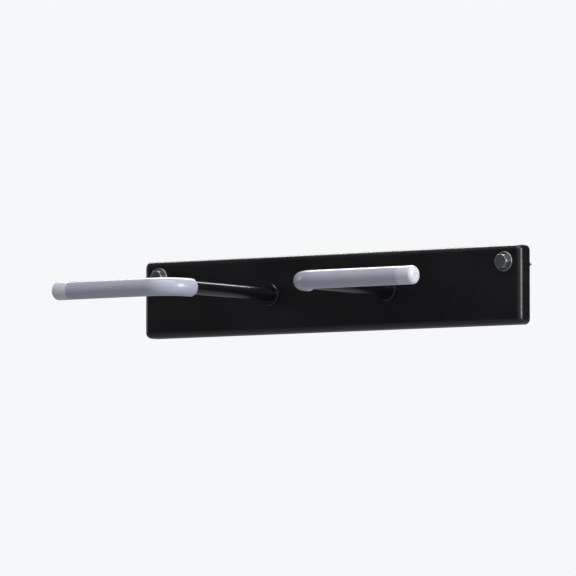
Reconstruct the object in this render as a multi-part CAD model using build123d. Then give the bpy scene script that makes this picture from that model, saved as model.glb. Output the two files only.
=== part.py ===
from build123d import *
import os

# Bicycle wall rack: a folded steel rail is screwed to the wall, and two bent hooks stand out of it.
# Each hook holds one bicycle by its front wheel, with the wheel square to the wall.
# Frame: X runs to the right along the wall, Y runs into the wall and Z is up. Sizes are in millimetres.
# The origin is on the face of the wall, midway between the two wall screws.

# Rail: a channel folded from steel sheet, open towards the wall, with a moulded cap on each end
rail_length = 444.5           # over both end caps
rail_height = 76.2
rail_sheet = 2.5
rail_fold_radius = 6.0        # outside radius of the two long folds

# Wall screws: lag screws with washers, and spacer tubes that keep the channel from being crushed.
# A screw is smooth inside the rail, and its thread starts at the wall.
screw_from_end = 19.05        # in from each end of the rail, so that both screws meet a wall stud
screw_from_top = 16.1         # down from the rail's top
screw_diameter = 7.94
screw_shank_relief = 0.22     # the smooth shank in the rail is this much smaller in radius than the thread
screw_length = 50.8           # under the head
screw_point_length = 9.0
screw_point_diameter = 1.2
screw_head_flats = 12.7
screw_head_height = 5.4
screw_hole_clearance = 0.38   # on the radius, in the rail, the washer and the spacer
washer_rim = 5.15             # from the hole to the outside
washer_thickness = 1.7
washer_chamfer = 0.28
spacer_wall = 2.65

# End caps, pushed into the channel's ends
cap_length = 7.0              # how far a cap stands out past the end of the sheet
cap_spigot_length = 16.0
cap_edge_ease = 0.5           # the cap's rounded edges are this much sharper than the folds
cap_wall = 2.5
cap_spigot_wall = 2.0
cap_clearance = 0.2           # between the spigot and the inside of the channel
cap_wall_gap = 0.5            # between the spigot and the wall behind it
cap_notch_gap = 1.0           # between the notch in the spigot and the spacer in it

# Hooks: round steel bar, bent once, so that the leg runs sideways in front of the rail
hook_spacing = 138.0          # between the middles of the two arms
hook_reach = 177.8            # from the wall to the middle of the leg
hook_leg_length = 141.0       # from the middle of the arm to the tip of the cap on the leg
hook_bend_radius = 27.0       # at the middle of the bar
bar_diameter = 12.7
bar_chamfer = 1.2

# Root of the hook: a squared shank that can't turn in the rail, then a thread for the nut
shank_shoulder = 1.35         # step from the round bar to each flat of the shank
shank_clearance = 0.2         # on each side of the square, and round its rounded corners
thread_diameter = 10.0
thread_relief = 0.2           # the thread is this much under its nominal diameter
thread_end = 0.5              # of the thread, past the nut
collar_rim = 4.65             # from the bar to the outside of the collar
collar_thickness = 3.0
collar_chamfer = 0.75
plate_width = 50.0            # stiffening plate behind the face of the rail
plate_thickness = 3.5
plate_corner_radius = 5.0
plate_fold_gap = 0.6          # from the plate to the start of the rail's folds
spring_washer_rim = 3.85
spring_washer_thickness = 2.2
spring_washer_split = 1.4
spring_washer_clearance = 0.2 # between the washer and the thread, all round
split_lean = 20.0             # degrees that the split leans from the nut's axis
nut_flats = 16.0
nut_height = 6.0
nut_wall_gap = 1.2            # from the end of the thread to the wall

# Vinyl sleeve and its moulded tip cap, on the bar where the wheel rests
sleeve_wall = 2.35
sleeve_clearance = 0.1        # between the sleeve and the bar, all round
sleeve_on_arm = 2.0           # how far the sleeve runs on from the bend towards the wall
sleeve_lip = 0.8
tip_cap_length = 18.0
tip_cap_end = 3.5             # thickness in front of the end of the bar
tip_cap_radius = 4.5
tip_clearance = 0.1           # between the end of the bar and the cap's end wall

# Limits on how sharp a corner may be
smallest_corner = 0.6         # radius of the sharpest inside corner
crown_width = 0.3             # of flat end lost inside a hexagon's flats where its corners are trimmed

# Places and sizes that follow from the ones above
screw_row_rise = rail_height / 2 - screw_from_top
rail_middle = -screw_row_rise
screw_x = rail_length / 2 - screw_from_end
screw_hole_radius = screw_diameter / 2 + screw_hole_clearance
washer_diameter = 2 * (screw_hole_radius + washer_rim)
spacer_diameter = 2 * (screw_hole_radius + spacer_wall)
channel_end = rail_length / 2 - cap_length
spigot_start = channel_end - cap_spigot_length
hook_x = hook_spacing / 2
tip_x = hook_x + hook_leg_length
tip_cap_x = tip_x - tip_cap_length
bar_end_x = tip_x - tip_cap_end - tip_clearance
sleeve_diameter = bar_diameter + 2 * (sleeve_clearance + sleeve_wall)
sleeve_end = -hook_reach + hook_bend_radius + sleeve_on_arm
shank_square = bar_diameter - 2 * shank_shoulder
square_hole = shank_square + 2 * shank_clearance

# From the wall outwards: the thread, the nut, the spring washer, the plate, the sheet and the collar
thread_back = -nut_wall_gap
nut_back = thread_back - thread_end
nut_front = nut_back - nut_height
plate_back = nut_front - spring_washer_thickness
plate_front = plate_back - plate_thickness
rail_front = plate_front - rail_sheet
collar_front = rail_front - collar_thickness


def rail_outline(inset, back):
    # Section of the rail, drawn in by inset on its front, top and bottom, and ending at back
    front = rail_front + inset
    section = Pos((front + back) / 2, rail_middle) * Rectangle(back - front, rail_height - 2 * inset)
    corners = section.vertices().group_by(Axis.X)[0]
    return fillet(corners, max(rail_fold_radius - inset, smallest_corner))


def run_along_x(section, start, end):
    # A section drawn with Y to its right and Z up, pushed along X from start to end
    placed = Plane.YZ.offset(start) * section
    return extrude(placed, end - start)


def round_bar(x, z, diameter, front, back):
    # A cylinder whose axis runs from the front to the back, square to the wall
    middle = Pos(x, (front + back) / 2, z)
    return middle * Rot(X=90) * Cylinder(diameter / 2, back - front)


def square_bar(x, z, width, front, back):
    return Pos(x, (front + back) / 2, z) * Box(width, back - front, width)


def shank_hole(x, front, back):
    # A square hole whose corners are rounded like the shank's own, so that little of it shows round the bar
    rounded = round_bar(x, rail_middle, bar_diameter + 2 * shank_clearance, front, back)
    return rounded & square_bar(x, rail_middle, square_hole, front, back)


def hexagon_bar(x, z, flats, front, back):
    outline = RegularPolygon(flats / 2, 6, major_radius=False)
    return extrude(Plane((x, back, z), x_dir=(1, 0, 0), z_dir=(0, -1, 0)) * outline, back - front)


def crowned(hexagon, x, z, flats, front, back):
    # Trims a hexagon's corners to a cone at its front, as on a forged head or a nut
    corner = flats / 3 ** 0.5
    turned = round_bar(x, z, 2 * corner, front, back)
    rim = turned.edges().group_by(Axis.Y)[0]
    return hexagon & chamfer(rim, (corner - flats / 2) / 2, corner - flats / 2 + crown_width)


def bar_path(arm_back, leg_end):
    # Middle line of the right hook: out along the arm, round the bend and along the leg
    return FilletPolyline(
        (hook_x, arm_back, rail_middle),
        (hook_x, -hook_reach, rail_middle),
        (leg_end, -hook_reach, rail_middle),
        radius=hook_bend_radius,
    )


def swept_along(path, section):
    start = Plane(origin=path @ 0, z_dir=path % 0)
    return sweep(start * section, path=path)


def make_rail():
    folded_sheet = rail_outline(0, 0) - rail_outline(rail_sheet, 0)
    rail = run_along_x(folded_sheet, -channel_end, channel_end)
    for side in (-1, 1):
        rail -= shank_hole(side * hook_x, rail_front, plate_front)
        rail -= round_bar(side * screw_x, 0, 2 * screw_hole_radius, rail_front, plate_front)
    return rail


def make_end_cap():
    cap = run_along_x(rail_outline(0, 0), channel_end, channel_end + cap_length)
    outer_edges = cap.faces().sort_by(Axis.X)[-1].edges()
    at_the_wall = outer_edges.sort_by(Axis.Y)[-1]
    rounded = [edge for edge in outer_edges if edge is not at_the_wall]
    cap = fillet(rounded, rail_fold_radius - cap_edge_ease)
    inset = rail_sheet + cap_clearance
    spigot = run_along_x(rail_outline(inset, -cap_wall_gap), spigot_start, channel_end)
    cap += spigot - round_bar(screw_x, 0, spacer_diameter + 2 * cap_notch_gap, rail_front, 0)
    core = rail_outline(inset + cap_spigot_wall, -cap_wall_gap - cap_spigot_wall)
    return cap - run_along_x(core, spigot_start, channel_end + cap_length - cap_wall)


def make_hook():
    bar = swept_along(bar_path(collar_front, bar_end_x), Circle(bar_diameter / 2))
    bar = chamfer(bar.edges().group_by(Axis.X)[-1], bar_chamfer)
    shank_back = plate_back - thread_end
    shank = round_bar(hook_x, rail_middle, bar_diameter, collar_front, shank_back)
    shank &= square_bar(hook_x, rail_middle, shank_square, collar_front, shank_back)
    thread = round_bar(hook_x, rail_middle, thread_diameter - thread_relief, plate_front, thread_back)
    thread = chamfer(thread.edges().group_by(Axis.Y)[-1], thread_end)
    return bar + shank + thread


def make_collar():
    collar = round_bar(hook_x, rail_middle, bar_diameter + 2 * collar_rim, collar_front, rail_front)
    collar = chamfer(collar.edges().group_by(Axis.Y)[0], collar_chamfer)
    return collar - shank_hole(hook_x, collar_front, rail_front)


def make_plate():
    height = rail_height - 2 * (max(rail_fold_radius, rail_sheet) + plate_fold_gap)
    middle = Pos(hook_x, (plate_front + plate_back) / 2, rail_middle)
    plate = middle * Box(plate_width, plate_thickness, height)
    plate = fillet(plate.edges().filter_by(Axis.Y), plate_corner_radius)
    return plate - shank_hole(hook_x, plate_front, plate_back)


def make_spring_washer():
    hole = thread_diameter + 2 * spring_washer_clearance
    outside = hole + 2 * spring_washer_rim
    ring = round_bar(hook_x, rail_middle, outside, plate_back, nut_front)
    ring -= round_bar(hook_x, rail_middle, hole, plate_back, nut_front)
    split_place = Pos(hook_x, (plate_back + nut_front) / 2, rail_middle + outside / 2)
    right_through = 3 * spring_washer_thickness  # long enough to part the ring at a slant
    split = Box(spring_washer_split, right_through, outside)
    return ring - split_place * Rot(Z=split_lean) * split


def make_nut():
    nut = hexagon_bar(hook_x, rail_middle, nut_flats, nut_front, nut_back)
    nut = crowned(nut, hook_x, rail_middle, nut_flats, nut_front, nut_back)
    return nut - round_bar(hook_x, rail_middle, thread_diameter, nut_front, nut_back)


def make_sleeve():
    hollow = bar_diameter / 2 + sleeve_clearance
    ring = Circle(sleeve_diameter / 2) - Circle(hollow)
    sleeve = swept_along(bar_path(sleeve_end, tip_cap_x), ring)
    rim = sleeve.edges().group_by(Axis.Y)[-1].sort_by(Edge.length)[-1]
    return fillet(rim, sleeve_lip)


def make_tip_cap():
    place = Pos((tip_cap_x + tip_x) / 2, -hook_reach, rail_middle) * Rot(Y=90)
    cap = place * Cylinder(sleeve_diameter / 2, tip_cap_length)
    cap = fillet(cap.edges().group_by(Axis.X)[-1], min(tip_cap_radius, sleeve_diameter / 2 - smallest_corner))
    bore_end = tip_x - tip_cap_end
    bore_place = Pos((tip_cap_x + bore_end) / 2, -hook_reach, rail_middle) * Rot(Y=90)
    return cap - bore_place * Cylinder(bar_diameter / 2 + sleeve_clearance, bore_end - tip_cap_x)


def make_wall_screw():
    head_back = rail_front - washer_thickness
    head_front = head_back - screw_head_height
    head = hexagon_bar(screw_x, 0, screw_head_flats, head_front, head_back)
    head = crowned(head, screw_x, 0, screw_head_flats, head_front, head_back)
    point_start = head_back + screw_length - screw_point_length
    shank = round_bar(screw_x, 0, screw_diameter - 2 * screw_shank_relief, head_back, 0)
    thread = round_bar(screw_x, 0, screw_diameter, 0, point_start)
    point_place = Pos(screw_x, point_start + screw_point_length / 2, 0) * Rot(X=-90)
    point = point_place * Cone(screw_diameter / 2, screw_point_diameter / 2, screw_point_length)
    return head + shank + thread + point


def make_wall_washer():
    washer_front = rail_front - washer_thickness
    washer = round_bar(screw_x, 0, washer_diameter, washer_front, rail_front)
    washer = chamfer(washer.edges().group_by(Axis.Y)[0], washer_chamfer)
    return washer - round_bar(screw_x, 0, 2 * screw_hole_radius, washer_front, rail_front)


def make_wall_spacer():
    spacer = round_bar(screw_x, 0, spacer_diameter, plate_front, 0)
    return spacer - round_bar(screw_x, 0, 2 * screw_hole_radius, plate_front, 0)


def save(node, part):
    part.label = node
    export_step(part, f"parts/{node}.step")


# Each of these is made for the right half of the rack and mirrored for the left half
paired_parts = {
    "end_cap": make_end_cap,
    "hook": make_hook,
    "hook_collar": make_collar,
    "hook_backing_plate": make_plate,
    "hook_spring_washer": make_spring_washer,
    "hook_nut": make_nut,
    "hook_sleeve": make_sleeve,
    "hook_tip_cap": make_tip_cap,
    "wall_screw": make_wall_screw,
    "wall_washer": make_wall_washer,
    "wall_spacer": make_wall_spacer,
}

os.makedirs("parts", exist_ok=True)
save("rail_channel", make_rail())
for name, make in paired_parts.items():
    right_part = make()
    save(f"{name}_right", right_part)
    save(f"{name}_left", mirror(right_part, about=Plane.YZ))
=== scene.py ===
import math
import bmesh
import bpy
from mathutils import Matrix, Vector


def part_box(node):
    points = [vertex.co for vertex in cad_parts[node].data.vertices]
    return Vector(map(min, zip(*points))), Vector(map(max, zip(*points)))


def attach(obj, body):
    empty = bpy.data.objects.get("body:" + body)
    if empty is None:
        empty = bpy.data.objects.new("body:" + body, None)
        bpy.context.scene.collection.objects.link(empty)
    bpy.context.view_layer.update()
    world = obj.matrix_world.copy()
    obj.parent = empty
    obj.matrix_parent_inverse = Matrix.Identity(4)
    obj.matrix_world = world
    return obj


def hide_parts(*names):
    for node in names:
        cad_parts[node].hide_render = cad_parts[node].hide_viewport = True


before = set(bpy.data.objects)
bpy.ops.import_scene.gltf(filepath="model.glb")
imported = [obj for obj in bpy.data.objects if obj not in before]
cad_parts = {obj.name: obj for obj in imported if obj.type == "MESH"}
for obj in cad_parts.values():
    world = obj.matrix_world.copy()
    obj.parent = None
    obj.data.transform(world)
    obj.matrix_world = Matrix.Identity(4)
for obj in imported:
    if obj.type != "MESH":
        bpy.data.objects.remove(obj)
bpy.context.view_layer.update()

# Bicycle wall rack: powder coated rail and hooks, vinyl sleeves where the wheels rest, black lag screws.
# Everything is in metres in the rack's own frame: X along the wall, Y into the wall, Z up.

mm = 0.001
weldGap = 0.002 * mm  # corners nearer than this become one
sliver = 0.01 * mm  # edges shorter than this are dissolved
sharpTurn = math.radians(35)  # edges that turn by more than this are shaded as edges
sides = {"right": 1, "left": -1}
print("frame loaded:", len(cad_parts), "nodes")

# A Mix node's colour sockets by number, because its number and vector sockets have the same names
mixAmount, mixFrom, mixTo, mixResult = 0, 6, 7, 2


def middleOf(node):
    low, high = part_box(node)
    return (low + high) / 2


def linear(hexColour):
    # an sRGB hex colour as the linear colour that a socket wants
    channels = [int(hexColour[i:i + 2], 16) / 255 for i in (1, 3, 5)]
    return [c / 12.92 if c <= 0.04045 else ((c + 0.055) / 1.055) ** 2.4 for c in channels] + [1.0]


def perMetre(millimetres):
    # the texture scale that gives features of this size on coordinates in metres
    return 1000 / millimetres


def addNode(tree, kind, inputs=None, **settings):
    # an input is a plain value, a socket to link from, or a node whose first output is linked
    node = tree.nodes.new("ShaderNode" + kind)
    for key, value in settings.items():
        setattr(node, key, value)
    for key, value in (inputs or {}).items():
        source = value.outputs[0] if isinstance(value, bpy.types.Node) else value
        if isinstance(source, bpy.types.NodeSocket):
            tree.links.new(source, node.inputs[key])
        else:
            node.inputs[key].default_value = source
    return node


def newMaterial(name, surface):
    material = bpy.data.materials.new(name)
    material.use_nodes = True
    shader = material.node_tree.nodes["Principled BSDF"]
    for key, value in surface.items():
        shader.inputs[key].default_value = linear(value) if isinstance(value, str) else value
    return material, material.node_tree, shader


def facingUp(tree):
    # 0 on walls and undersides, rising to 1 on faces that look straight up
    normal = addNode(tree, "NewGeometry").outputs["Normal"]
    upward = addNode(tree, "SeparateXYZ", {0: normal}).outputs["Z"]
    return addNode(tree, "MapRange", {"Value": upward, "From Min": 0.5, "From Max": 1.0})


def addGrain(tree, shader, where, look):
    # fine surface relief, laid over whatever relief the shader has already
    grain = addNode(tree, "TexNoise", {"Vector": where, "Scale": perMetre(look["grainSize"]), "Detail": 3.0})
    relief = addNode(tree, "Bump", {"Height": grain, "Distance": look["grainDepth"] * mm})
    for link in shader.inputs["Normal"].links:
        tree.links.new(link.from_socket, relief.inputs["Normal"])
    tree.links.new(relief.outputs[0], shader.inputs["Normal"])


# Powder coat on steel, sprayed and baked: a satin black film with faint orange peel, dusty where it faces up.
# The peel is drawn a little deeper than it is, so that it shows.
railCoat = {"colour": "#08080A", "smooth": 0.32, "rough": 0.40,
            "cloudSize": 45.0, "cloudFrom": 0.3, "cloudTo": 0.7,
            "peelSize": 2.6, "peelDepth": 0.025, "grainSize": 0.5, "grainDepth": 0.003,
            "dust": 0.07, "dustSize": 7.0, "dustFrom": 0.35, "dustTo": 0.75, "dustDulls": 0.5,
            "dustColour": "#5B5955"}
barCoat = dict(railCoat, smooth=0.24, rough=0.31, peelSize=2.0, peelDepth=0.018)
plateCoat = dict(railCoat, colour="#101012", smooth=0.42, rough=0.50, dust=0.0)


def makePowderCoat(name, look):
    material, tree, shader = newMaterial(name, {"IOR": 1.5})
    where = addNode(tree, "TexCoord").outputs["Object"]
    patches = addNode(tree, "TexNoise", {"Vector": where, "Scale": perMetre(look["dustSize"]), "Detail": 4.0})
    amount = addNode(tree, "MapRange", {"Value": patches, "From Min": look["dustFrom"],
                                        "From Max": look["dustTo"], "To Max": look["dust"]})
    dust = addNode(tree, "Math", {0: facingUp(tree), 1: amount}, operation="MULTIPLY")
    film = {mixAmount: dust, mixFrom: linear(look["colour"]), mixTo: linear(look["dustColour"])}
    coat = addNode(tree, "Mix", film, data_type="RGBA")
    tree.links.new(coat.outputs[mixResult], shader.inputs["Base Color"])
    cloud = addNode(tree, "TexNoise", {"Vector": where, "Scale": perMetre(look["cloudSize"]), "Detail": 3.0})
    gloss = addNode(tree, "MapRange", {"Value": cloud,
                                       "From Min": look["cloudFrom"], "From Max": look["cloudTo"],
                                       "To Min": look["smooth"], "To Max": look["rough"]})
    dulled = addNode(tree, "Math", {0: dust, 1: look["dustDulls"], 2: gloss}, operation="MULTIPLY_ADD")
    tree.links.new(dulled.outputs[0], shader.inputs["Roughness"])
    peel = addNode(tree, "TexNoise", {"Vector": where, "Scale": perMetre(look["peelSize"]), "Detail": 1.0})
    relief = addNode(tree, "Bump", {"Height": peel, "Distance": look["peelDepth"] * mm})
    tree.links.new(relief.outputs[0], shader.inputs["Normal"])
    addGrain(tree, shader, where, look)
    return material


# Bright zinc plate with a clear passivate: pale metal with faint blue and straw clouds
zincPlate = {"colour": "#C6CAD0", "straw": "#CDC9BC", "smooth": 0.24, "rough": 0.36,
             "cloudSize": 6.0, "cloudFrom": 0.35, "cloudTo": 0.65, "grainSize": 0.3, "grainDepth": 0.006}


def makeZinc(name, look):
    material, tree, shader = newMaterial(name, {"Metallic": 1.0})
    where = addNode(tree, "TexCoord").outputs["Object"]
    noise = addNode(tree, "TexNoise", {"Vector": where, "Scale": perMetre(look["cloudSize"]), "Detail": 3.0})
    cloud = addNode(tree, "MapRange", {"Value": noise, "From Min": look["cloudFrom"],
                                       "From Max": look["cloudTo"]})
    tint = {mixAmount: cloud, mixFrom: linear(look["colour"]), mixTo: linear(look["straw"])}
    metal = addNode(tree, "Mix", tint, data_type="RGBA")
    tree.links.new(metal.outputs[mixResult], shader.inputs["Base Color"])
    gloss = addNode(tree, "MapRange", {"Value": cloud, "To Min": look["smooth"], "To Max": look["rough"]})
    tree.links.new(gloss.outputs[0], shader.inputs["Roughness"])
    addGrain(tree, shader, where, look)
    return material


def maskThread(material, threadFrom):
    # the thread is plugged while the bar is sprayed, so behind this Y the steel keeps its zinc
    tree = material.node_tree
    shader = tree.nodes["Principled BSDF"]
    where = addNode(tree, "TexCoord").outputs["Object"]
    depth = addNode(tree, "SeparateXYZ", {0: where}).outputs["Y"]
    bare = addNode(tree, "Math", {0: depth, 1: threadFrom}, operation="GREATER_THAN")
    coated = shader.inputs["Base Color"].links[0].from_socket
    coatOrZinc = {mixAmount: bare, mixFrom: coated, mixTo: linear(zincPlate["colour"])}
    both = addNode(tree, "Mix", coatOrZinc, data_type="RGBA")
    tree.links.new(both.outputs[mixResult], shader.inputs["Base Color"])
    tree.links.new(bare.outputs[0], shader.inputs["Metallic"])


# Polypropylene moulded in a spark-eroded tool: satin black with a fine, even grain
capPlastic = {"colour": "#0E0E10", "smooth": 0.30, "rough": 0.38,
              "cloudSize": 20.0, "cloudFrom": 0.3, "cloudTo": 0.7, "grainSize": 0.35, "grainDepth": 0.02}


def makeCapPlastic(name, look):
    material, tree, shader = newMaterial(name, {"Base Color": look["colour"], "IOR": 1.49})
    where = addNode(tree, "TexCoord").outputs["Object"]
    cloud = addNode(tree, "TexNoise", {"Vector": where, "Scale": perMetre(look["cloudSize"]), "Detail": 3.0})
    gloss = addNode(tree, "MapRange", {"Value": cloud,
                                       "From Min": look["cloudFrom"], "From Max": look["cloudTo"],
                                       "To Min": look["smooth"], "To Max": look["rough"]})
    tree.links.new(gloss.outputs[0], shader.inputs["Roughness"])
    addGrain(tree, shader, where, look)
    return material


# Plasticised vinyl: a soft satin grey. The extruded sleeve carries faint lines from the die, which run
# along it and turn with the bend, and the tyre leaves faint smears on top of it. The lines are drawn wider
# than they are.
sleeveVinyl = {"colour": "#A0A4B2", "paler": "#A6AAB7", "smooth": 0.26, "rough": 0.36,
               "shadeSize": 18.0, "shadeFrom": 0.2, "shadeTo": 0.8, "grainSize": 0.4, "grainDepth": 0.004,
               "lineStretch": 25.0, "lineSize": 0.7, "lineDepth": 0.012,
               "smear": "#4A4A4D", "smearAt": 95.0, "smearWide": 30.0, "smearSize": 2.5,
               "smearFrom": 0.45, "smearTo": 0.7, "smearStrength": 0.06}
# The tip cap is moulded from a like vinyl and comes out paler and smoother
tipVinyl = {"colour": "#C0C3CB", "paler": "#C6C9D0", "smooth": 0.24, "rough": 0.32,
            "shadeSize": 9.0, "shadeFrom": 0.2, "shadeTo": 0.8, "grainSize": 0.5, "grainDepth": 0.004}


def makeVinyl(name, look, where):
    # the grey itself, with the shade and the gloss that the sleeves and the tip caps share
    material, tree, shader = newMaterial(name, {"IOR": 1.52})
    place = addNode(tree, "Attribute", attribute_name=where).outputs["Vector"]
    noise = addNode(tree, "TexNoise", {"Vector": place, "Scale": perMetre(look["shadeSize"]), "Detail": 3.0})
    shade = addNode(tree, "MapRange", {"Value": noise, "From Min": look["shadeFrom"],
                                       "From Max": look["shadeTo"]})
    greys = {mixAmount: shade, mixFrom: linear(look["colour"]), mixTo: linear(look["paler"])}
    grey = addNode(tree, "Mix", greys, data_type="RGBA")
    tree.links.new(grey.outputs[mixResult], shader.inputs["Base Color"])
    gloss = addNode(tree, "MapRange", {"Value": shade, "To Min": look["smooth"], "To Max": look["rough"]})
    tree.links.new(gloss.outputs[0], shader.inputs["Roughness"])
    addGrain(tree, shader, place, look)
    return material, tree, shader, place


def makeExtrudedVinyl(name, look):
    material, tree, shader, place = makeVinyl(name, look, "unbent")
    drawn = addNode(tree, "Mapping", {"Vector": place, "Scale": (1 / look["lineStretch"], 1.0, 1.0)})
    lines = addNode(tree, "TexNoise", {"Vector": drawn, "Scale": perMetre(look["lineSize"]), "Detail": 2.0})
    relief = addNode(tree, "Bump", {"Height": lines, "Distance": look["lineDepth"] * mm,
                                    "Normal": shader.inputs["Normal"].links[0].from_socket})
    tree.links.new(relief.outputs[0], shader.inputs["Normal"])
    along = addNode(tree, "SeparateXYZ", {0: place}).outputs["X"]
    fromWheel = addNode(tree, "Math", {0: along, 1: look["smearAt"] * mm}, operation="SUBTRACT")
    away = addNode(tree, "Math", {0: fromWheel}, operation="ABSOLUTE")
    near = addNode(tree, "MapRange", {"Value": away, "From Max": look["smearWide"] * mm,
                                      "To Min": 1.0, "To Max": 0.0})
    rubbed = addNode(tree, "TexNoise", {"Vector": drawn, "Scale": perMetre(look["smearSize"]), "Detail": 4.0})
    marks = addNode(tree, "MapRange", {"Value": rubbed, "From Min": look["smearFrom"],
                                       "From Max": look["smearTo"], "To Max": look["smearStrength"]})
    onTop = addNode(tree, "Math", {0: near, 1: facingUp(tree)}, operation="MULTIPLY")
    worn = addNode(tree, "Math", {0: onTop, 1: marks}, operation="MULTIPLY")
    clean = shader.inputs["Base Color"].links[0].from_socket
    cleanOrRubbed = {mixAmount: worn, mixFrom: clean, mixTo: linear(look["smear"])}
    dirty = addNode(tree, "Mix", cleanOrRubbed, data_type="RGBA")
    tree.links.new(dirty.outputs[mixResult], shader.inputs["Base Color"])
    return material


# Steel blackened in hot alkali and oiled: a metal that throws back about a fifth of the light and so looks
# dark grey.
# Its outer corners, and the washer's rim, are painted pale bare steel: partly wear from a socket, partly a
# painted highlight
screwOxide = {"colour": "#76777C", "bare": "#D4D6D8", "smooth": 0.36, "rough": 0.48,
              "patchSize": 2.5, "patchFrom": 0.35, "patchTo": 0.65, "patchLeast": 0.2,
              "rubAndGlintFrom": 5.9, "rubAndGlintTo": 7.2, "grainSize": 0.4, "grainDepth": 0.008}
# the washer's rim gets the same pale band, partly wear and partly a painted highlight
washerOxide = dict(screwOxide, rubAndGlintFrom=8.9, rubAndGlintTo=9.5)


def makeBlackOxide(name, look):
    material, tree, shader = newMaterial(name, {"Metallic": 1.0})
    where = addNode(tree, "TexCoord").outputs["Object"]
    place = addNode(tree, "SeparateXYZ", {0: where})
    axis = middleOf("wall_screw_right")
    oneSide = addNode(tree, "Math", {0: place.outputs["X"]}, operation="ABSOLUTE")
    fromAxis = addNode(tree, "CombineXYZ", {"X": oneSide, "Z": place.outputs["Z"]})
    outward = addNode(tree, "VectorMath", {0: fromAxis, 1: (axis.x, 0, axis.z)}, operation="DISTANCE")
    # painted highlight mixed with real rubbing: pale bare steel towards the head's outer corners and the
    # washer's rim
    corner = addNode(tree, "MapRange", {"Value": outward.outputs["Value"],
                                        "From Min": look["rubAndGlintFrom"] * mm,
                                        "From Max": look["rubAndGlintTo"] * mm})
    noise = addNode(tree, "TexNoise", {"Vector": where, "Scale": perMetre(look["patchSize"]), "Detail": 3.0})
    patch = addNode(tree, "MapRange", {"Value": noise, "From Min": look["patchFrom"],
                                       "From Max": look["patchTo"], "To Min": look["patchLeast"]})
    wearAndGlint = addNode(tree, "Math", {0: corner, 1: patch}, operation="MULTIPLY")
    steel = {mixAmount: wearAndGlint, mixFrom: linear(look["colour"]), mixTo: linear(look["bare"])}
    surface = addNode(tree, "Mix", steel, data_type="RGBA")
    tree.links.new(surface.outputs[mixResult], shader.inputs["Base Color"])
    gloss = addNode(tree, "MapRange", {"Value": patch, "To Min": look["smooth"], "To Max": look["rough"]})
    tree.links.new(gloss.outputs[0], shader.inputs["Roughness"])
    addGrain(tree, shader, where, look)
    return material


barMaterial = makePowderCoat("powderCoatOnBar", barCoat)
maskThread(barMaterial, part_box("hook_backing_plate_right")[0].y)
zincMaterial = makeZinc("brightZincPlate", zincPlate)
sleeveMaterial = makeExtrudedVinyl("extrudedVinyl", sleeveVinyl)
tipMaterial = makeVinyl("mouldedVinyl", tipVinyl, "unbent")[0]
screwMaterial = makeBlackOxide("blackOxideScrew", screwOxide)

finishes = {
    "rail_channel": makePowderCoat("powderCoatOnSheet", railCoat),
    "end_cap": makeCapPlastic("mouldedPolypropylene", capPlastic),
    "hook": barMaterial,
    "hook_collar": barMaterial,
    "hook_backing_plate": makePowderCoat("powderCoatOnPlate", plateCoat),
    "hook_spring_washer": zincMaterial,
    "hook_nut": zincMaterial,
    "hook_sleeve": sleeveMaterial,
    "hook_tip_cap": tipMaterial,
    "wall_screw": screwMaterial,
    "wall_washer": makeBlackOxide("blackOxideWasher", washerOxide),
    "wall_spacer": zincMaterial,
}
for nodeName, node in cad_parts.items():
    finish = finishes[nodeName.removesuffix("_left").removesuffix("_right")]
    for slot in node.material_slots:
        slot.material = finish
print("finishes given to", len(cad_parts), "nodes")


def drawProfile(shape, points):
    # an open line of edges: the first number runs along the X axis, the second is the distance from it
    made = [shape.verts.new((along, 0, outward)) for along, outward in points]
    return [shape.edges.new(pair) for pair in zip(made, made[1:])]


def turnProfile(shape, points, steps):
    # turns a profile once round the X axis, and closes its poles
    edges = drawProfile(shape, points)
    corners = list(dict.fromkeys(corner for edge in edges for corner in edge.verts))
    bmesh.ops.spin(shape, geom=corners + edges, cent=(0, 0, 0), axis=(1, 0, 0), dvec=(0, 0, 0),
                   angle=math.tau, steps=steps, use_merge=True, use_duplicate=False)
    bmesh.ops.remove_doubles(shape, verts=shape.verts, dist=weldGap)


def roundedCorner(along, outward, radius, start, end, count):
    # an arc of a profile about its own middle, where 0 degrees looks along the axis and 90 away from it
    angles = [math.radians(start + (end - start) * step / count) for step in range(count + 1)]
    return [(along + radius * math.cos(angle), outward + radius * math.sin(angle)) for angle in angles]


def addPiece(name, shape, side, material, node):
    # mirrors the right-hand shape for the left and puts it on the rack in place of its node
    bmesh.ops.scale(shape, vec=(sides[side], 1, 1), verts=shape.verts)
    bmesh.ops.recalc_face_normals(shape, faces=shape.faces)
    mesh = bpy.data.meshes.new(f"{name}_{side}")
    shape.to_mesh(mesh)
    shape.free()
    mesh.materials.append(material)
    mesh.shade_smooth()
    mesh.set_sharp_from_angle(angle=sharpTurn)
    piece = bpy.data.objects.new(f"{name}_{side}", mesh)
    bpy.context.scene.collection.objects.link(piece)
    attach(piece, "root")
    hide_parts(f"{node}_{side}")
    return piece


def easeEdges(piece, width, segments, angle):
    bevel = piece.modifiers.new("easedEdges", "BEVEL")
    bevel.width = width * mm
    bevel.segments = segments
    bevel.limit_method = "ANGLE"
    bevel.angle_limit = math.radians(angle)
    bevel.harden_normals = True


# The sleeves: vinyl tube pushed over the bar, which creases faintly on the inside of the bend
sleeve = {"bendRadius": 27.0, "wall": 2.2, "around": 72, "legRings": 40, "bendRings": 96, "armRings": 2,
          "creaseDepth": 0.22, "creases": 5, "creaseWidth": 0.09, "endFade": 0.5, "sideFade": 1.5,
          "lip": 0.5, "lipSegments": 3, "lipAngle": 60.0}
bendRadius = sleeve["bendRadius"] * mm
armX = middleOf("hook_collar_right").x
legMiddle = middleOf("hook_tip_cap_right")
bendMiddle = Vector((armX + bendRadius, legMiddle.y + bendRadius, legMiddle.z))


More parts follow.
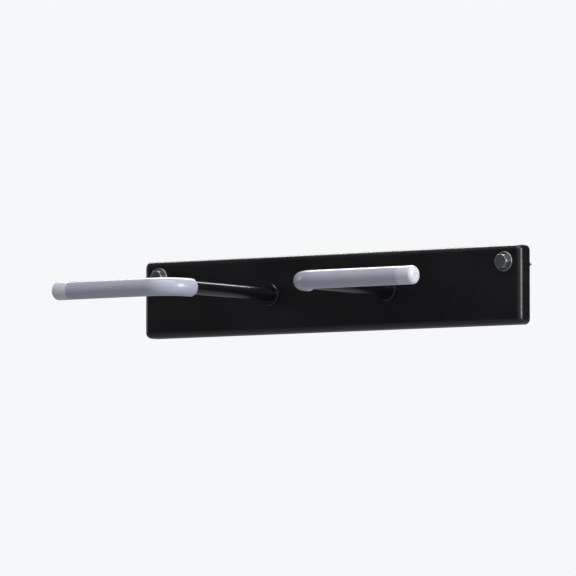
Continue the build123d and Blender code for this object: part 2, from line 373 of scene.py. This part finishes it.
def unbend(point):
    # where a point lies if the bar is straightened: along it, away from the bend's middle, and up
    up = point.z - legMiddle.z
    if point.x >= bendMiddle.x:
        return Vector((bendRadius * math.pi / 2 + point.x - bendMiddle.x, legMiddle.y - point.y, up))
    if point.y >= bendMiddle.y:
        return Vector((bendMiddle.y - point.y, armX - point.x, up))
    away = bendMiddle.xy - point.xy
    return Vector((math.atan2(away.y, away.x) * bendRadius, away.length - bendRadius, up))


def creaseBend(shape, outside):
    # presses shallow creases into the inner side of the bend, fading to its ends and round its sides
    creases = [(index + 0.5) / sleeve["creases"] * math.pi / 2 for index in range(sleeve["creases"])]
    for vertex in shape.verts:
        along, outward, up = unbend(vertex.co)
        turn = along / bendRadius
        if outward >= 0 or not 0 < turn < math.pi / 2:
            continue
        dip = sum(math.exp(-((turn - crease) / sleeve["creaseWidth"]) ** 2) for crease in creases)
        fade = math.sin(2 * turn) ** sleeve["endFade"] * (-outward / outside) ** sleeve["sideFade"]
        depth = sleeve["creaseDepth"] * mm * dip * fade
        barMiddle = bendMiddle - bendRadius * Vector((math.cos(turn), math.sin(turn), 0))
        vertex.co -= depth * (vertex.co - barMiddle).normalized()


def pushEnd(shape, ring, move, steps):
    # pushes the open end of a tube on in equal steps, and returns its new end
    for step in range(steps):
        grown = bmesh.ops.extrude_edge_only(shape, edges=ring)["geom"]
        corners = [part for part in grown if isinstance(part, bmesh.types.BMVert)]
        bmesh.ops.translate(shape, vec=move / steps, verts=corners)
        ring = [part for part in grown
                if isinstance(part, bmesh.types.BMEdge) and set(part.verts) <= set(corners)]
    return ring


def markUnbent(shape):
    unbent = shape.verts.layers.float_vector.new("unbent")
    for vertex in shape.verts:
        vertex[unbent] = unbend(vertex.co)


def makeSleeve(side):
    low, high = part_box("hook_sleeve_right")
    outside = (high.z - low.z) / 2
    shape = bmesh.new()
    start = Matrix.Translation((high.x, legMiddle.y, legMiddle.z)) @ Matrix.Rotation(math.pi / 2, 4, "Y")
    bmesh.ops.create_circle(shape, segments=sleeve["around"], radius=outside, matrix=start)
    ring = pushEnd(shape, list(shape.edges), Vector((bendMiddle.x - high.x, 0, 0)), sleeve["legRings"])
    corners = list(dict.fromkeys(corner for edge in ring for corner in edge.verts))
    turned = bmesh.ops.spin(shape, geom=corners + ring, cent=bendMiddle, axis=(0, 0, -1), dvec=(0, 0, 0),
                            angle=math.pi / 2, steps=sleeve["bendRings"], use_duplicate=False)
    ring = [part for part in turned["geom_last"] if isinstance(part, bmesh.types.BMEdge)]
    pushEnd(shape, ring, Vector((0, high.y - bendMiddle.y, 0)), sleeve["armRings"])
    bmesh.ops.remove_doubles(shape, verts=shape.verts, dist=weldGap)
    creaseBend(shape, outside)
    markUnbent(shape)
    piece = addPiece("vinylSleeve", shape, side, sleeveMaterial, "hook_sleeve")
    wall = piece.modifiers.new("wall", "SOLIDIFY")
    wall.thickness = sleeve["wall"] * mm
    wall.offset = -1.0
    easeEdges(piece, sleeve["lip"], sleeve["lipSegments"], sleeve["lipAngle"])


for side in sides:
    makeSleeve(side)
print("sleeves made")

# The tip caps: moulded with a rounded end and a sunk gate mark in its middle
tipCap = {"around": 72, "edgeRadius": 4.5, "edgeSteps": 14, "lip": 0.4, "lipSteps": 4,
          "boreRadius": 6.45, "endWall": 3.5, "gateRadius": 1.9, "gateDepth": 0.45, "gateDraft": 0.25,
          "nubRadius": 0.7, "nubHeight": 0.2, "ease": 0.08, "easeSegments": 2, "easeAngle": 50.0}


def makeTipCap(side):
    low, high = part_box("hook_tip_cap_right")
    length, outside = (high.x - low.x) / mm, (high.z - low.z) / 2 / mm
    edge, lip, bore = tipCap["edgeRadius"], tipCap["lip"], tipCap["boreRadius"]
    dish = length - tipCap["gateDepth"]
    nub = dish + tipCap["nubHeight"]
    profile = [(length - tipCap["endWall"], 0), (length - tipCap["endWall"], bore), (0, bore)]
    profile += roundedCorner(lip, outside - lip, lip, 180, 90, tipCap["lipSteps"])
    profile += roundedCorner(length - edge, outside - edge, edge, 90, 0, tipCap["edgeSteps"])
    profile += [(length, tipCap["gateRadius"]), (dish, tipCap["gateRadius"] - tipCap["gateDraft"])]
    profile += [(dish, tipCap["nubRadius"]), (nub, tipCap["nubRadius"]), (nub, 0)]
    shape = bmesh.new()
    turnProfile(shape, [(along * mm, outward * mm) for along, outward in profile], tipCap["around"])
    bmesh.ops.translate(shape, vec=(low.x, legMiddle.y, legMiddle.z), verts=shape.verts)
    markUnbent(shape)
    piece = addPiece("tipCap", shape, side, tipMaterial, "hook_tip_cap")
    easeEdges(piece, tipCap["ease"], tipCap["easeSegments"], tipCap["easeAngle"])


for side in sides:
    makeTipCap(side)
print("tip caps made")

# The lag screws: a forged hexagon head, a smooth shank, and a coarse rolled thread with a gimlet point
lag = {"flats": 12.7, "head": 5.4, "crownSlope": 1.1, "crownWidth": 0.35, "crownSteps": 64,
       "edge": 0.18, "edgeSegments": 2, "edgeAngle": 20.0, "shankRadius": 3.75, "shankSteps": 48,
       "pitch": 2.82, "rootRadius": 2.85, "crestRadius": 3.97, "rootFlat": 1.4, "crestFlat": 0.14,
       "point": 9.0, "pointRadius": 0.35, "stepsPerTurn": 40, "turnsBefore": 2, "spareTurns": 3,
       "past": 0.1, "tuck": 0.3}


def asObject(shape, name):
    mesh = bpy.data.meshes.new(name)
    shape.to_mesh(mesh)
    shape.free()
    made = bpy.data.objects.new(name, mesh)
    bpy.context.scene.collection.objects.link(made)
    return made


def commonPart(first, second):
    # the solid that two shapes share
    first, second = asObject(first, "first"), asObject(second, "second")
    shared = first.modifiers.new("shared", "BOOLEAN")
    shared.operation = "INTERSECT"
    shared.solver = "EXACT"
    shared.object = second
    result = bmesh.new()
    result.from_object(first, bpy.context.evaluated_depsgraph_get())
    for made in (first, second):
        bpy.data.meshes.remove(made.data)
    return result


def makeHead(front, back):
    # a hexagon whose corners are trimmed to a shallow cone at the front, as forging leaves them
    corner = lag["flats"] / math.sqrt(3) * mm
    hexagon = bmesh.new()
    place = Matrix.Translation((front, 0, 0)) @ Matrix.Rotation(math.pi / 2, 4, "Y")
    bmesh.ops.create_circle(hexagon, cap_ends=True, segments=6, radius=corner, matrix=place)
    grown = bmesh.ops.extrude_face_region(hexagon, geom=list(hexagon.faces))["geom"]
    far = [part for part in grown if isinstance(part, bmesh.types.BMVert)]
    bmesh.ops.translate(hexagon, vec=(back - front, 0, 0), verts=far)
    bmesh.ops.recalc_face_normals(hexagon, faces=hexagon.faces)
    past = lag["past"] * mm  # so that the cone cuts the hexagon only where it slopes
    button = [(front, 0), (front, (lag["flats"] / 2 - lag["crownWidth"]) * mm)]
    button += [(front + lag["crownSlope"] * mm, corner + past)]
    button += [(back + past, corner + past), (back + past, 0)]
    turned = bmesh.new()
    turnProfile(turned, button, lag["crownSteps"])
    bmesh.ops.recalc_face_normals(turned, faces=turned.faces)
    head = commonPart(hexagon, turned)
    bmesh.ops.dissolve_degenerate(head, edges=head.edges, dist=sliver)
    sharp = [edge for edge in head.edges if edge.calc_face_angle(0) > math.radians(lag["edgeAngle"])]
    bmesh.ops.bevel(head, geom=sharp, offset=lag["edge"] * mm, affect="EDGES", segments=lag["edgeSegments"],
                    profile=0.5, material=-1, clamp_overlap=True)
    return head


def closeAt(shape, place, normal):
    # cuts a shape across, drops what lies beyond and closes the cut
    everything = list(shape.verts) + list(shape.edges) + list(shape.faces)
    cut = bmesh.ops.bisect_plane(shape, geom=everything, plane_co=place, plane_no=normal, clear_outer=True)
    rim = [part for part in cut["geom_cut"] if isinstance(part, bmesh.types.BMEdge)]
    bmesh.ops.holes_fill(shape, edges=rim, sides=0)


def makeThread(length):
    # one tooth, wound into a helix along X and drawn down to the point, then cut to length
    pitch, root, crest = lag["pitch"] * mm, lag["rootRadius"] * mm, lag["crestRadius"] * mm
    flank = (lag["pitch"] - lag["rootFlat"] - lag["crestFlat"]) / 2
    steps = [(0, root), (lag["rootFlat"], root), (flank, crest), (lag["crestFlat"], crest), (flank, root)]
    tooth, along = [], -lag["turnsBefore"] * pitch
    for step, outward in steps:
        along += step * mm
        tooth.append((along, outward))
    shape = bmesh.new()
    edges = drawProfile(shape, tooth)
    turns = math.ceil(length / pitch) + lag["spareTurns"]
    bmesh.ops.spin(shape, geom=list(shape.verts) + edges, cent=(0, 0, 0), axis=(1, 0, 0),
                   dvec=(pitch / lag["stepsPerTurn"], 0, 0), angle=math.tau * turns,
                   steps=turns * lag["stepsPerTurn"], use_duplicate=False)
    bmesh.ops.remove_doubles(shape, verts=shape.verts, dist=weldGap)
    for vertex in shape.verts:
        towardsTip = min(max(1 - (length - vertex.co.x) / (lag["point"] * mm), 0.0), 1.0)
        vertex.co.yz = vertex.co.yz * (1 - towardsTip * (1 - lag["pointRadius"] / lag["crestRadius"]))
    closeAt(shape, (length, 0, 0), (1, 0, 0))
    closeAt(shape, (0, 0, 0), (-1, 0, 0))
    bmesh.ops.dissolve_degenerate(shape, edges=shape.edges, dist=sliver)
    return shape


def makeLagScrew(side):
    low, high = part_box("wall_screw_right")
    middle = middleOf("wall_screw_right")
    headBack = low.y + lag["head"] * mm
    shank = lag["shankRadius"] * mm
    tuck = lag["tuck"] * mm  # how far the shank runs into the head and into the thread
    shape = makeHead(low.y, headBack)
    turnProfile(shape, [(headBack - tuck, 0), (headBack - tuck, shank), (tuck, shank), (tuck, 0)],
                lag["shankSteps"])
    thread = bpy.data.meshes.new("thread")
    wound = makeThread(high.y)
    wound.to_mesh(thread)
    wound.free()
    shape.from_mesh(thread)
    bpy.data.meshes.remove(thread)
    bmesh.ops.transform(shape, matrix=Matrix.Rotation(math.pi / 2, 4, "Z"), verts=shape.verts)
    bmesh.ops.translate(shape, vec=(middle.x, 0, middle.z), verts=shape.verts)
    addPiece("lagScrew", shape, side, screwMaterial, "wall_screw")


for side in sides:
    makeLagScrew(side)
print("lag screws made")

# Camera, below and to the right of the rack, looking up at it from far off
viewing = {"eye": (3.092, -4.530, -0.377), "target": (0.004, -0.09, -0.022), "lens": 352.0, "farthest": 100.0}


def aim(thing, target):
    thing.rotation_euler = (Vector(target) - thing.location).to_track_quat("-Z", "Y").to_euler()


camera = bpy.data.objects.new("camera", bpy.data.cameras.new("camera"))
bpy.context.scene.collection.objects.link(camera)
bpy.context.scene.camera = camera
camera.location = viewing["eye"]
aim(camera, viewing["target"])
camera.data.lens = viewing["lens"]
camera.data.clip_end = viewing["farthest"]

# Soft boxes: a broad one overhead, a strip at each side for the rounded ends, one in front
# and one behind for the wall side
lamps = {
    "overhead": {"place": (0.3, -0.9, 2.0), "size": (2.0, 1.0), "watts": 30.0},
    "rightStrip": {"place": (2.6, -0.5, 0.7), "size": (0.6, 1.6), "watts": 75.0},
    "leftStrip": {"place": (-2.6, -0.6, 0.7), "size": (0.6, 1.6), "watts": 12.0},
    "fill": {"place": (1.4, -3.0, 1.2), "size": (1.4, 1.4), "watts": 18.0},
    "behind": {"place": (-1.2, 1.8, 2.2), "size": (1.8, 1.2), "watts": 80.0},
}
lampTarget = (0, -0.1, 0)
for name, lamp in lamps.items():
    light = bpy.data.objects.new(name, bpy.data.lights.new(name, "AREA"))
    bpy.context.scene.collection.objects.link(light)
    light.data.shape = "RECTANGLE"
    light.data.size, light.data.size_y = lamp["size"]
    light.data.energy = lamp["watts"]
    light.location = lamp["place"]
    light.visible_camera = False
    aim(light, lampTarget)

# Floor, well below the rack, and the room round it: both look paler than the light that they give the rack
room = {"floorDrop": 0.62, "floorSize": 14.0, "floor": "#98999D", "floorRoughness": 0.8,
        "floorSeen": "#DCDDE0", "seen": "#F6F7F8", "lighting": "#B9BCC2", "lightingStrength": 0.10}
floorShape = bmesh.new()
bmesh.ops.create_grid(floorShape, x_segments=1, y_segments=1, size=room["floorSize"])
bmesh.ops.translate(floorShape, verts=floorShape.verts, vec=(0, 0, -room["floorDrop"]))
floor = asObject(floorShape, "floor")
paint = {"Base Color": room["floor"], "Roughness": room["floorRoughness"],
         "Emission Color": room["floorSeen"]}
floorMaterial, floorTree, floorShader = newMaterial("matteFloorPaint", paint)
onlySeen = addNode(floorTree, "LightPath").outputs["Is Camera Ray"]
floorTree.links.new(onlySeen, floorShader.inputs["Emission Strength"])
floor.data.materials.append(floorMaterial)

world = bpy.data.worlds.new("studio")
bpy.context.scene.world = world
world.use_nodes = True
worldTree = world.node_tree
backdrop = worldTree.nodes["Background"]
backdrop.inputs["Color"].default_value = linear(room["seen"])
glow = addNode(worldTree, "Background", {"Color": linear(room["lighting"]),
                                         "Strength": room["lightingStrength"]})
seen = addNode(worldTree, "LightPath").outputs["Is Camera Ray"]
both = addNode(worldTree, "MixShader", {0: seen, 1: glow, 2: backdrop})
worldTree.links.new(both.outputs[0], worldTree.nodes["World Output"].inputs["Surface"])
bpy.context.scene.view_settings.view_transform = "Standard"
print("camera, lights and floor made")
